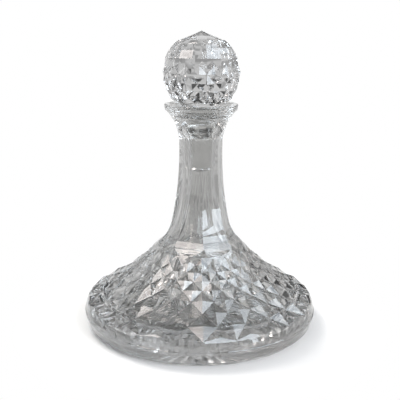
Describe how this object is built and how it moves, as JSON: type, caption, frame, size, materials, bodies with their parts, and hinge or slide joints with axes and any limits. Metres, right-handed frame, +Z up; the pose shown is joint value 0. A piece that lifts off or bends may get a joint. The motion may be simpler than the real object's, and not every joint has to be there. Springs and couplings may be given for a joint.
{
  "type": "ships decanter",
  "caption": "Cut glass ship's decanter with a broad heavy base, a tall fluted neck, a flared lip and a ball stopper that lifts out.",
  "frame": {"origin": "centre of the flat ring that the decanter stands on", "axes": "+Z up along the neck and the way the stopper lifts out, -Y towards the front"},
  "size_m": [0.196, 0.196, 0.2413],
  "materials": {
    "body_glass": "clear lead crystal, cut and polished outside, star cut under the base, ground frosted seat in the neck",
    "stopper_glass": "clear lead crystal, cut and polished ball, fine ground frosted plug"
  },
  "bodies": {
    "decanter": {"decanter_body": "body_glass"},
    "stopper": {"stopper": "stopper_glass"}
  },
  "joints": [
    {"name": "stopper_lift", "type": "slide", "parent": "decanter", "child": "stopper", "axis": [0, 0, 1], "range_m": [0, 0.06]}
  ]
}
